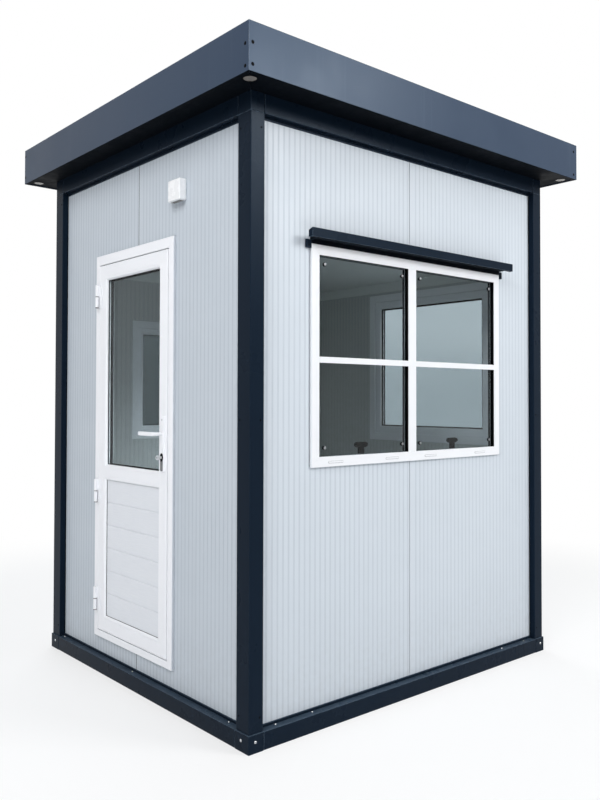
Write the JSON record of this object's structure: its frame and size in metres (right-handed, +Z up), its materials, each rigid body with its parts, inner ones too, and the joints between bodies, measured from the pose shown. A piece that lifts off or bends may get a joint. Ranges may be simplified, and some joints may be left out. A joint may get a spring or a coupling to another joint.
{
  "type": "security guard booth",
  "caption": "Prefabricated security guard booth with an anthracite steel frame, flat roof with deep fascia, ribbed panels, glazed white door and barred side window.",
  "frame": {"origin": "on the ground at the middle of the base frame", "axes": "+Z up, -Y out of the door, +X out of the barred window; the fascia runs square to both"},
  "size_m": [2.173, 2.341, 2.87],
  "materials": {
    "frame_steel": "satin powder coat, anthracite",
    "wall_panel": "satin coated steel skin, micro-ribbed",
    "roof_metal": "satin coated steel",
    "soffit_dark": "satin powder coat",
    "floor_vinyl": "matte sheet",
    "ceiling_panel": "satin",
    "upvc_white": "satin gloss",
    "tinted_glass": "smooth grey tint",
    "black_rubber": "matte",
    "latch_black": "satin",
    "button_metal": "polished",
    "lock_metal": "satin",
    "lamp_white": "satin",
    "light_lens": "frosted"
  },
  "bodies": {
    "cabin": {"base_frame": "frame_steel", "floor_panel": "floor_vinyl", "roof_frame": "frame_steel", "post_front_left": "frame_steel", "post_front_right": "frame_steel", "post_back_left": "frame_steel", "post_back_right": "frame_steel", "front_wall_left": "wall_panel", "front_wall_right": "wall_panel", "front_wall_over_door": "wall_panel", "front_wall_under_door": "wall_panel", "right_wall_front": "wall_panel", "right_wall_back": "wall_panel", "right_wall_over_window": "wall_panel", "right_wall_under_window": "wall_panel", "left_wall": "wall_panel", "back_wall": "wall_panel", "panel_trims": "frame_steel", "ceiling_panel": "ceiling_panel", "cornice": "ceiling_panel", "roof_panel": "roof_metal", "roof_ribs": "roof_metal", "fascia_front": "frame_steel", "fascia_back": "frame_steel", "fascia_left": "frame_steel", "fascia_right": "frame_steel", "soffit": "soffit_dark", "soffit_lights": "light_lens", "door_frame": "upvc_white", "frame_hinges": "upvc_white", "right_window_frame": "upvc_white", "right_window_gaskets": "black_rubber", "right_window_glass": "tinted_glass", "right_window_lining": "upvc_white", "window_buttons": "button_metal", "window_latches": "latch_black", "window_hood": "frame_steel", "back_window_frame": "upvc_white", "back_window_sash": "upvc_white", "back_window_glass": "tinted_glass", "left_window_frame": "upvc_white", "left_window_sash": "upvc_white", "left_window_glass": "tinted_glass", "wall_lamp": "lamp_white"},
    "door": {"door_leaf": "upvc_white", "door_glass": "tinted_glass", "door_panel": "upvc_white", "leaf_hinges": "upvc_white", "handle_plates": "upvc_white"},
    "handle": {"door_handle": "upvc_white"},
    "key_plug": {"key": "lock_metal"}
  },
  "joints": [
    {"name": "door_swing", "type": "hinge", "parent": "cabin", "child": "door", "pos_m": [-0.414, -1.04, 1.1665], "axis": [0, 0, -1], "range_deg": [0, 100]},
    {"name": "handle_turn", "type": "hinge", "parent": "door", "child": "handle", "pos_m": [0.241, -0.9995, 1.256], "axis": [0, -1, 0], "range_deg": [0, 40], "stiffness_Nm_per_rad": 2, "springref_deg": -20.05},
    {"name": "key_turn", "type": "hinge", "parent": "door", "child": "key_plug", "pos_m": [0.241, -0.9995, 1.146], "axis": [0, -1, 0], "range_deg": [0, 360]}
  ]
}
